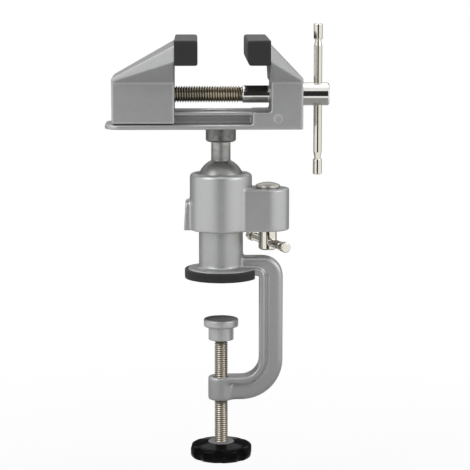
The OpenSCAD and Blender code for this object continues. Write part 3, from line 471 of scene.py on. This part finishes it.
# %% Painted casting
def casting_paint(name, shade, metallic, roughness, top_shade=0.0, mark=None):
    made, tree, sockets = start_material(name, Metallic=metallic)
    grain = place_group(tree, grain_group, Scale=1300.0)
    edge_wear_and_highlight = place_group(tree, edge_wear_and_highlight_group, Amount=0.4, Scale=240.0)
    dark = (shade - 0.02, shade - 0.015, shade - 0.015)
    light = (shade + 0.02, shade + 0.025, shade + 0.025)
    dust = place_group(tree, dust_and_top_shade_group, Amount=0.15)
    glint = place_group(tree, flake_group)["Glint"]
    body = mix_colour(tree, grain["Mottle"], rgb(*dark), rgb(*light))
    flakes = calculate(tree, "MULTIPLY", glint, 0.22)
    body = mix_colour(tree, flakes, body, rgb(0.72, 0.72, 0.71))
    # Edges are painted lighter: partly paint worn to bare metal, partly a painted highlight.
    body = mix_colour(tree, calculate(tree, "MULTIPLY", edge_wear_and_highlight["Mask"], 0.7), body, rgb(0.74, 0.74, 0.73))
    body = mix_colour(tree, dust["Mask"], body, rgb(0.42, 0.41, 0.39))
    # Upward faces of the pad are darkened here: painted shade on its top face.
    if top_shade:
        top_shade_mask = place_group(tree, dust_and_top_shade_group, Amount=top_shade, Scale=40.0)
        body = mix_colour(tree, top_shade_mask["Mask"], body, rgb(0.05))
    if mark:
        ring = place_group(tree, ring_group, Centre=mark)["Mask"]
        body = mix_colour(tree, calculate(tree, "MULTIPLY", ring, 0.6), body, rgb(0.70))
    join(tree, body, sockets["Base Color"])
    gloss = spread(tree, grain["Mottle"], roughness - 0.03, roughness + 0.03)
    gloss = calculate(tree, "SUBTRACT", gloss, calculate(tree, "MULTIPLY", edge_wear_and_highlight["Mask"], 0.08))
    join(tree, gloss, sockets["Roughness"])
    height = calculate(tree, "ADD", grain["Height"], calculate(tree, "MULTIPLY", glint, 0.25))
    add_bump(tree, sockets, height, 0.016)
    return made


foot_mark = (32.5 * MM, -18 * MM, 94.6 * MM)
bed_paint = casting_paint("bed_paint", 0.43, 0.65, 0.42, mark=foot_mark)
head_paint = casting_paint("head_paint", 0.43, 0.65, 0.42)
housing_paint = casting_paint("housing_paint", 0.47, 0.78, 0.38)
frame_paint = casting_paint("frame_paint", 0.41, 0.75, 0.40)
pad_paint = casting_paint("pad_paint", 0.44, 0.75, 0.40, top_shade=1.6)
paints = (bed_paint, head_paint, housing_paint, frame_paint, pad_paint)
print("finishes:", *(paint.name for paint in paints))

# %% [markdown]
# The ball and its neck are bare turned steel that has gone dull and grey. The collar above them is painted
# darker: painted shade under the bed.

# %% Dull turned steel
tone_change = 0.3 * MM


def dull_steel(name, dark, light, roughness, stretch, painted_shade_above=None):
    made, tree, sockets = start_material(name, Metallic=0.85)
    lines = place_group(tree, line_group, Stretch=stretch)
    edge_wear_and_highlight = place_group(tree, edge_wear_and_highlight_group, Amount=0.8, Scale=300.0)
    body = mix_colour(tree, lines["Smudge"], rgb(*dark), rgb(*light))
    body = mix_colour(tree, edge_wear_and_highlight["Mask"], body, rgb(0.62, 0.61, 0.58))
    # The part above this level is darkened: painted shade under the bed.
    if painted_shade_above:
        full = painted_shade_above + tone_change
        collar_shade_mask = place_group(tree, tone_group, Start=painted_shade_above, Finish=full)["Mask"]
        body = mix_colour(tree, calculate(tree, "MULTIPLY", collar_shade_mask, 0.6), body, rgb(0.06))
    join(tree, body, sockets["Base Color"])
    join(tree, spread(tree, lines["Smudge"], roughness - 0.08, roughness + 0.12), sockets["Roughness"])
    add_bump(tree, sockets, lines["Height"], 0.012)
    return made


around_z = (40.0, 40.0, 1800.0)
around_x = (1800.0, 40.0, 40.0)
collar_level = 80 * MM
stud_steel = dull_steel(
    "stud_steel", (0.21, 0.21, 0.205), (0.33, 0.33, 0.32), 0.36, around_z, collar_level
)
fastener_steel = dull_steel("fastener_steel", (0.42, 0.41, 0.39), (0.56, 0.55, 0.53), 0.28, around_z)
nut_steel = dull_steel("nut_steel", (0.32, 0.28, 0.20), (0.46, 0.41, 0.31), 0.32, around_x)
print("finishes:", stud_steel.name, fastener_steel.name, nut_steel.name)

# %% [markdown]
# Bars, screw heads and the domed cap have bright nickel plating, which is a little warmer than chrome.
# Fingerprints show as small changes of roughness.

# %% Bright plating
def bright_plating(name, colour, stretch, smooth=0.05, smudged=0.10):
    made, tree, sockets = start_material(name, Metallic=1.0)
    lines = place_group(tree, line_group, Stretch=stretch)
    edge_wear_and_highlight = place_group(tree, edge_wear_and_highlight_group, Amount=0.5, Scale=420.0)
    stained = tuple(c * 0.86 for c in colour)
    body = mix_colour(tree, lines["Smudge"], rgb(*stained), rgb(*colour))
    body = mix_colour(tree, edge_wear_and_highlight["Mask"], body, rgb(0.86, 0.84, 0.78))
    join(tree, body, sockets["Base Color"])
    join(tree, spread(tree, lines["Smudge"], smooth, smudged), sockets["Roughness"])
    add_bump(tree, sockets, lines["Height"], 0.0005)
    return made


bar_plating = bright_plating("bar_plating", (0.80, 0.76, 0.67), around_z)
screw_plating = bright_plating("screw_plating", (0.78, 0.77, 0.75), around_x)
cap_plating = bright_plating("cap_plating", (0.52, 0.50, 0.455), around_z, 0.32, 0.44)
print("finishes:", bar_plating.name, screw_plating.name, cap_plating.name)

# %% [markdown]
# The threads are cut steel with a film of old oil: the crests are polished by the nut and the grooves
# stay dark and golden. The end of the jaw screw by the moving jaw is the darkest.

# %% Oiled thread
def oiled_thread(name, groove, crest, stretch, dark_end=None):
    made, tree, sockets = start_material(name, Metallic=0.95)
    lines = place_group(tree, line_group, Stretch=stretch)
    height = add_node(tree, "ShaderNodeAttribute", attribute_name="edge").outputs["Fac"]
    stain = calculate(tree, "MULTIPLY", lines["Smudge"], 0.45)
    body = mix_colour(tree, height, rgb(*groove), rgb(*crest))
    body = mix_colour(tree, stain, body, rgb(0.20, 0.15, 0.08))
    # Towards the end by the moving jaw the colour turns darker along X.
    if dark_end:
        start, finish = dark_end
        lighter_side = place_group(tree, tone_group, Axis=(1.0, 0.0, 0.0), Start=start, Finish=finish)["Mask"]
        end_darkening = calculate(tree, "MULTIPLY", calculate(tree, "SUBTRACT", 1.0, lighter_side), 0.5)
        body = mix_colour(tree, end_darkening, body, rgb(0.10, 0.095, 0.08))
    join(tree, body, sockets["Base Color"])
    join(tree, spread(tree, lines["Smudge"], 0.16, 0.36), sockets["Roughness"])
    add_bump(tree, sockets, lines["Height"], 0.01)
    return made


dark_end_span = (-12 * MM, -4 * MM)
jaw_thread_steel = oiled_thread(
    "jaw_thread_steel", (0.09, 0.072, 0.05), (0.62, 0.55, 0.43), around_x, dark_end_span
)
clamp_thread_steel = oiled_thread(
    "clamp_thread_steel", (0.28, 0.255, 0.21), (0.49, 0.46, 0.40), around_z
)
print("finishes:", jaw_thread_steel.name, clamp_thread_steel.name)

# %% [markdown]
# Rubber is dark grey rather than black, dull, and slightly pale where it has been rubbed.

# %% Rubber
def soft_rubber(name, dark, light):
    made, tree, sockets = start_material(
        name, Sheen_Weight=0.08, Sheen_Roughness=0.5, Specular_IOR_Level=0.3
    )
    grain = place_group(tree, grain_group, Scale=1500.0)
    edge_wear_and_highlight = place_group(tree, edge_wear_and_highlight_group, Amount=0.9, Scale=200.0)
    dust = place_group(tree, dust_and_top_shade_group, Amount=0.4, Scale=220.0)
    body = mix_colour(tree, grain["Mottle"], rgb(dark), rgb(light))
    body = mix_colour(tree, calculate(tree, "MULTIPLY", edge_wear_and_highlight["Mask"], 0.4), body, rgb(0.08))
    body = mix_colour(tree, dust["Mask"], body, rgb(0.16, 0.157, 0.152))
    join(tree, body, sockets["Base Color"])
    join(tree, spread(tree, grain["Mottle"], 0.62, 0.82), sockets["Roughness"])
    add_bump(tree, sockets, grain["Height"], 0.04)
    return made


cover_rubber = soft_rubber("cover_rubber", 0.020, 0.028)
pad_rubber = soft_rubber("pad_rubber", 0.016, 0.024)
print("finishes:", cover_rubber.name, pad_rubber.name)

# %% [markdown]
# The knob is black moulded plastic, shiny on its faces and scuffed at the lobes. The insert in its middle
# is plain grey plastic.

# %% Moulded plastic
def moulded_plastic(name, colour, scuff, low_rough, high_rough, depth_mm, shine):
    made, tree, sockets = start_material(name, Specular_IOR_Level=shine)
    grain = place_group(tree, grain_group, Scale=1300.0)
    edge_wear_and_highlight = place_group(tree, edge_wear_and_highlight_group, Amount=0.8, Scale=350.0)
    body = mix_colour(tree, grain["Mottle"], rgb(*colour), rgb(*(c * 1.5 for c in colour)))
    body = mix_colour(tree, calculate(tree, "MULTIPLY", edge_wear_and_highlight["Mask"], 0.4), body, rgb(scuff))
    join(tree, body, sockets["Base Color"])
    join(tree, spread(tree, grain["Mottle"], low_rough, high_rough), sockets["Roughness"])
    add_bump(tree, sockets, grain["Height"], depth_mm)
    return made


knob_plastic = moulded_plastic("knob_plastic", (0.003, 0.003, 0.0035), 0.04, 0.10, 0.18, 0.004, 0.05)
insert_plastic = moulded_plastic("insert_plastic", (0.18, 0.18, 0.185), 0.26, 0.45, 0.6, 0.02, 0.3)
print("finishes:", knob_plastic.name, insert_plastic.name)

# %% [markdown]
# ## Giving the pieces their finished shapes
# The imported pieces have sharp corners. Real ones never do: a casting has small rounds from its mould and
# a turned part has a broken edge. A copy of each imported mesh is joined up, its flat faces are merged
# and its sharp edges are rounded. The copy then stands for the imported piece.

# %% Copy and round a piece
nodes_of = frame["record"]["behaviour"]["bodies"]
bodies_of = {node: body for body, nodes in nodes_of.items() for node in nodes}
join_distance = 0.002 * MM
flat_angle = math.radians(0.6)
sharp_angle = math.radians(28)
crease_angle = math.radians(45)


def joined_copy(node):
    form = bmesh.new()
    form.from_mesh(frame["nodes"][node].data)
    bmesh.ops.remove_doubles(form, verts=form.verts, dist=join_distance)
    bmesh.ops.dissolve_limit(form, angle_limit=flat_angle, verts=form.verts, edges=form.edges)
    return form


def round_edges(form, width, segments):
    mask = form.verts.layers.float.new("edge")
    sharp = [e for e in form.edges if len(e.link_faces) == 2 and e.calc_face_angle(0) > sharp_angle]
    made = bmesh.ops.bevel(
        form,
        geom=sharp,
        offset=width,
        offset_type="OFFSET",
        segments=segments,
        profile=0.5,
        affect="EDGES",
        clamp_overlap=True,
    )
    for face in made["faces"]:
        for vert in face.verts:
            vert[mask] = 1.0


def settle(name, form, node, finish):
    for face in form.faces:
        face.smooth = True
    piece = object_from(name, form)
    piece.data.materials.append(finish)
    piece.data.set_sharp_from_angle(angle=crease_angle)
    weighted = piece.modifiers.new("even_shading", "WEIGHTED_NORMAL")
    weighted.keep_sharp = True
    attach(piece, bodies_of[node])
    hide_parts(node)
    return piece


def rounded_piece(name, node, finish, width_mm, segments=3):
    form = joined_copy(node)
    round_edges(form, width_mm * MM, segments)
    piece = settle(name, form, node, finish)
    print(name, len(piece.data.polygons), "faces")
    return piece


# %% [markdown]
# Turned and plated pieces have fine broken edges.

# %% Turned pieces
rounded_piece("ball_and_neck", "ball_stud", stud_steel, 0.35)
rounded_piece("turning_bar", "jaw_bar", bar_plating, 0.15, 2)
rounded_piece("turning_bar_ends", "jaw_bar_ends", bar_plating, 0.2)
rounded_piece("lock_handle", "lock_bar", bar_plating, 0.15, 2)
rounded_piece("lock_handle_ends", "lock_bar_ends", bar_plating, 0.2)
rounded_piece("lock_screw_head", "lock_screw", bar_plating, 0.3)
rounded_piece("domed_cap", "lock_cap", cap_plating, 0.25)
rounded_piece("pressing_pad", "clamp_pad", pad_paint, 0.5)

# %% [markdown]
# Small fasteners and most pieces inside get a fine broken edge too. The ball's seat and the lock's shoe
# can't be seen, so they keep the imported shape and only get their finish.

# %% Fasteners and inner pieces
for node in ("head_bolt", "head_washer", "screw_keeper", "retainer_screw", "pad_retainer"):
    rounded_piece(node + "_steel", node, fastener_steel, 0.2, 2)
for node in ("jaw_nut", "lock_bushing"):
    rounded_piece(node + "_steel", node, nut_steel, 0.2, 2)
for node in ("ball_seat", "lock_shoe"):
    frame["nodes"][node].data.materials.clear()
    frame["nodes"][node].data.materials.append(stud_steel)

# %% [markdown]
# ## Castings with soft inner corners
# The clamp frame, the housing, the bed and the moving jaw come from moulds, with rounds inside and
# outside. Rounding single edges fails where three cast shapes run together. Rebuilding the surface as
# small cells and then relaxing it rounds everything alike, as paint over a casting does. A corner that
# stands out from its neighbours is marked as an edge that can wear and that takes a painted highlight.

# %% Cast skins
relax_share = 0.5
ridge_gain = 9
ridge_start = 0.25


def relax(form, passes):
    for _ in range(passes):
        bmesh.ops.smooth_vert(
            form, verts=form.verts, factor=relax_share, use_axis_x=True, use_axis_y=True, use_axis_z=True
        )


def mark_ridges(form, cell):
    mask = form.verts.layers.float.new("edge")
    for vert in form.verts:
        around = [e.other_vert(vert).co for e in vert.link_edges]
        middle = sum(around, Vector()) / len(around)
        stands_out = (vert.co - middle).dot(vert.normal) / cell
        vert[mask] = min(1.0, max(0.0, stands_out * ridge_gain - ridge_start))


def cast_skin(name, node, finish, cell_mm, passes, merge_flats=False):
    raw = object_from("raw_" + node, joined_copy(node))
    cells = raw.modifiers.new("cells", "REMESH")
    cells.mode = "VOXEL"
    cells.voxel_size = cell_mm * MM
    mesh = bpy.data.meshes.new_from_object(raw.evaluated_get(bpy.context.evaluated_depsgraph_get()))
    bpy.data.objects.remove(raw)
    form = bmesh.new()
    form.from_mesh(mesh)
    bpy.data.meshes.remove(mesh)
    relax(form, passes)
    form.normal_update()
    mark_ridges(form, cell_mm * MM)
    for face in form.faces:
        face.smooth = True
    if merge_flats:
        bmesh.ops.dissolve_limit(form, angle_limit=flat_angle, verts=form.verts, edges=form.edges)
    piece = object_from(name, form)
    piece.data.materials.append(finish)
    if merge_flats:
        piece.modifiers.new("even_shading", "WEIGHTED_NORMAL")
    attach(piece, bodies_of[node])
    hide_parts(node)
    print(name, len(piece.data.polygons), "faces")
    return piece


cast_skin("clamp_casting", "clamp_frame", frame_paint, 0.55, 9)
cast_skin("housing_casting", "socket_housing", housing_paint, 0.5, 5)
cast_skin("bed_casting", "vise_bed", bed_paint, 0.55, 5, merge_flats=True)
cast_skin("moving_jaw_casting", "moving_jaw", head_paint, 0.55, 5, merge_flats=True)

# %% [markdown]
# The rubber pieces are soft mouldings, so they are made the same way. The jaw covers are relaxed more.

# %% Rubber pieces
cast_skin("moving_cover", "moving_jaw_cover", cover_rubber, 0.5, 12)
cast_skin("fixed_cover", "fixed_jaw_cover", cover_rubber, 0.5, 12)
cast_skin("bench_cup", "bench_pad", pad_rubber, 0.5, 4)

# %% [markdown]
# The knob is a plastic moulding with eight lobes and a grey insert.

# %% Knob
cast_skin("lobed_knob", "clamp_knob", knob_plastic, 0.35, 3)
rounded_piece("knob_middle", "knob_insert", insert_plastic, 0.3)

# %% [markdown]
# ## Threads
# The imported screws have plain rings, which is enough for motion. A real thread is one ridge that climbs
# round the core. Geometry Nodes suit it: a flat grid is rolled up, with one direction running round the
# axis and the other across one pitch, and every point climbs as it goes round.

# %% Geometry helpers
def geometry_tree(name, inputs):
    tree = bpy.data.node_groups.new(name, "GeometryNodeTree")
    tree.interface.new_socket("Geometry", in_out="OUTPUT", socket_type="NodeSocketGeometry")
    kinds = {int: "NodeSocketInt", float: "NodeSocketFloat"}
    for label, value in inputs.items():
        kind = "NodeSocketMaterial" if value is None else kinds[type(value)]
        socket = tree.interface.new_socket(label, in_out="INPUT", socket_type=kind)
        if value is not None:
            socket.default_value = value
    entry = tree.nodes.new("NodeGroupInput").outputs
    leave = tree.nodes.new("NodeGroupOutput").inputs
    return tree, entry, leave


def span(tree, value, low, high):
    made = add_node(tree, "ShaderNodeMapRange", {"From Min": low, "From Max": high})
    join(tree, value, made.inputs["Value"])
    return made.outputs["Result"]


# %% Thread tree
thread_steps = 48
weld_distance = 0.01 * MM


def thread_tree():
    sizes = {"Radius": 4.7 * MM, "Depth": 0.85 * MM, "Pitch": 1.5 * MM, "Length": 40.0 * MM}
    counts = {"Turns": 28.0, "Steps": thread_steps}
    tree, entry, leave = geometry_tree("screw_thread", {**sizes, **counts, "Finish": None})
    columns = calculate(tree, "MULTIPLY", entry["Turns"], entry["Steps"])
    grid = add_node(tree, "GeometryNodeMeshGrid", {"Size Y": 1.0, "Vertices Y": 5})
    join(tree, entry["Turns"], grid.inputs["Size X"])
    join(tree, calculate(tree, "ADD", columns, 1), grid.inputs["Vertices X"])
    place = add_node(tree, "ShaderNodeSeparateXYZ")
    join(tree, add_node(tree, "GeometryNodeInputPosition").outputs[0], place.inputs[0])
    turn = calculate(tree, "ADD", place.outputs["X"], calculate(tree, "MULTIPLY", entry["Turns"], 0.5))
    across = calculate(tree, "ADD", place.outputs["Y"], 0.5)
    root = span(tree, across, 0.0, 0.25)
    rise = span(tree, across, 0.25, 0.5)
    crest = span(tree, across, 0.5, 0.75)
    fall = span(tree, across, 0.75, 1.0)
    flats = calculate(tree, "MULTIPLY", calculate(tree, "ADD", root, crest), 1 / 6)
    flanks = calculate(tree, "MULTIPLY", calculate(tree, "ADD", rise, fall), 1 / 3)
    share = calculate(tree, "ADD", calculate(tree, "ADD", flats, flanks), turn)
    climb = calculate(tree, "MULTIPLY", calculate(tree, "SUBTRACT", share, 1.0), entry["Pitch"])
    ridge = calculate(tree, "SUBTRACT", rise, fall)
    start = calculate(tree, "DIVIDE", climb, entry["Pitch"], clamp=True)
    left = calculate(tree, "SUBTRACT", entry["Length"], climb)
    end = calculate(tree, "DIVIDE", left, entry["Pitch"], clamp=True)
    ridge = calculate(tree, "MULTIPLY", ridge, calculate(tree, "MULTIPLY", start, end))
    core = calculate(tree, "SUBTRACT", entry["Radius"], entry["Depth"])
    reach = calculate(tree, "ADD", core, calculate(tree, "MULTIPLY", ridge, entry["Depth"]))
    angle = calculate(tree, "MULTIPLY", turn, 2 * math.pi)
    level = calculate(tree, "MINIMUM", calculate(tree, "MAXIMUM", climb, 0.0), entry["Length"])
    spot = add_node(tree, "ShaderNodeCombineXYZ")
    join(tree, calculate(tree, "MULTIPLY", reach, calculate(tree, "COSINE", angle)), spot.inputs["X"])
    join(tree, calculate(tree, "MULTIPLY", reach, calculate(tree, "SINE", angle)), spot.inputs["Y"])
    join(tree, level, spot.inputs["Z"])
    keep = add_node(tree, "GeometryNodeStoreNamedAttribute", {"Name": "edge"}, data_type="FLOAT")
    join(tree, grid.outputs["Mesh"], keep.inputs["Geometry"])
    join(tree, ridge, keep.inputs["Value"])
    roll = add_node(tree, "GeometryNodeSetPosition")
    join(tree, keep.outputs[0], roll.inputs["Geometry"])
    join(tree, spot.outputs[0], roll.inputs["Position"])
    weld = add_node(tree, "GeometryNodeMergeByDistance", {"Distance": weld_distance})
    join(tree, roll.outputs[0], weld.inputs["Geometry"])
    real = add_node(tree, "GeometryNodeRealizeInstances")
    join(tree, weld.outputs[0], real.inputs["Geometry"])
    coat = add_node(tree, "GeometryNodeSetMaterial")
    join(tree, real.outputs[0], coat.inputs["Geometry"])
    join(tree, entry["Finish"], coat.inputs["Material"])
    join(tree, coat.outputs[0], leave["Geometry"])
    return tree


thread_nodes = thread_tree()
print("tree:", thread_nodes.name, len(thread_nodes.nodes), "nodes")

# %% Make a thread
thread_crease_angle = math.radians(70)


def made_by(tree, name, values):
    holder = bpy.data.objects.new(name, bpy.data.meshes.new(name))
    scene.collection.objects.link(holder)
    modifier = holder.modifiers.new(name, "NODES")
    modifier.node_group = tree
    for item in tree.interface.items_tree:
        if item.in_out == "INPUT" and item.name in values:
            modifier[item.identifier] = values[item.name]
    seen = holder.evaluated_get(bpy.context.evaluated_depsgraph_get())
    mesh = bpy.data.meshes.new_from_object(seen)
    bpy.data.objects.remove(holder)
    return mesh


def helix(name, node, radius, depth, pitch, length, place, finish):
    turns = float(math.ceil(length / pitch) + 2)
    sizes = {"Radius": radius, "Depth": depth, "Pitch": pitch, "Length": length}
    counts = {"Turns": turns, "Steps": thread_steps}
    mesh = made_by(thread_nodes, name, {**sizes, **counts, "Finish": finish})
    form = bmesh.new()
    form.from_mesh(mesh)
    bmesh.ops.holes_fill(form, edges=form.edges, sides=0)
    bmesh.ops.recalc_face_normals(form, faces=form.faces)
    for face in form.faces:
        face.smooth = True
    bmesh.ops.transform(form, verts=form.verts, matrix=place)
    piece = object_from(name, form)
    piece.data.materials.append(finish)
    piece.data.set_sharp_from_angle(angle=thread_crease_angle)
    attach(piece, bodies_of[node])
    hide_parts(node)
    print(name, len(piece.data.polygons), "faces")
    return piece


# %% [markdown]
# The jaw screw lies along X and ends where its smooth shank begins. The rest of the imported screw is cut
# off there and keeps its own polished finish.

# %% Jaw screw
def cut_copy(node, point, normal):
    form = joined_copy(node)
    everything = list(form.verts) + list(form.edges) + list(form.faces)
    made = bmesh.ops.bisect_plane(
        form, geom=everything, plane_co=point, plane_no=normal, clear_inner=True, dist=join_distance
    )
    rim = [item for item in made["geom_cut"] if isinstance(item, bmesh.types.BMEdge)]
    bmesh.ops.holes_fill(form, edges=rim, sides=0)
    return form


nut_low, nut_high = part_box("jaw_nut")
screw_level = (nut_low.z + nut_high.z) / 2
thread_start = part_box("jaw_screw")[0].x
thread_end = 11.8 * MM
cut_clearance = 0.01 * MM
shank_bevel = 0.3 * MM
thread_overlap = 0.3 * MM
jaw_pitch = 1.5 * MM
jaw_thread_radius = 4.7 * MM
jaw_thread_depth = 0.85 * MM

shank = cut_copy("jaw_screw", Vector((thread_end + cut_clearance, 0, 0)), Vector((1, 0, 0)))
round_edges(shank, shank_bevel, 3)
settle("screw_shank_and_head", shank, "jaw_screw", screw_plating)

turned_along_x = Matrix.Rotation(math.radians(90), 4, "Y")
along_x = Matrix.Translation(Vector((thread_start, 0, screw_level))) @ turned_along_x
jaw_thread_length = thread_end + thread_overlap - thread_start
helix(
    "jaw_thread",
    "jaw_screw",
    jaw_thread_radius,
    jaw_thread_depth,
    jaw_pitch,
    jaw_thread_length,
    along_x,
    jaw_thread_steel,
)

# %% [markdown]
# The clamp screw stands upright. Its thread runs from its lower end up to the clamp pad, where the
# packed ball tip goes on.

# %% Clamp screw
clamp_pitch = 1.25 * MM
clamp_thread_radius = 3.9 * MM
clamp_thread_depth = 0.72 * MM
tip_clearance = 0.6 * MM
tip_bevel = 0.15 * MM
clamp_thread_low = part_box("clamp_screw")[0].z
clamp_thread_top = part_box("clamp_pad")[0].z - tip_clearance

tip = cut_copy("clamp_screw", Vector((0, 0, clamp_thread_top)), Vector((0, 0, 1)))
round_edges(tip, tip_bevel, 2)
settle("clamp_screw_tip", tip, "clamp_screw", fastener_steel)

along_z = Matrix.Translation(Vector((0, 0, clamp_thread_low)))
helix(
    "clamp_thread",
    "clamp_screw",
    clamp_thread_radius,
    clamp_thread_depth,
    clamp_pitch,
    clamp_thread_top - clamp_thread_low,
    along_z,
    clamp_thread_steel,
)

# %% [markdown]
# ## Last measurements
# The size of the imported model is printed.

# %% Print the imported model's size
print("packed:", [round(v / MM, 1) for v in cad_box[1] - cad_box[0]])
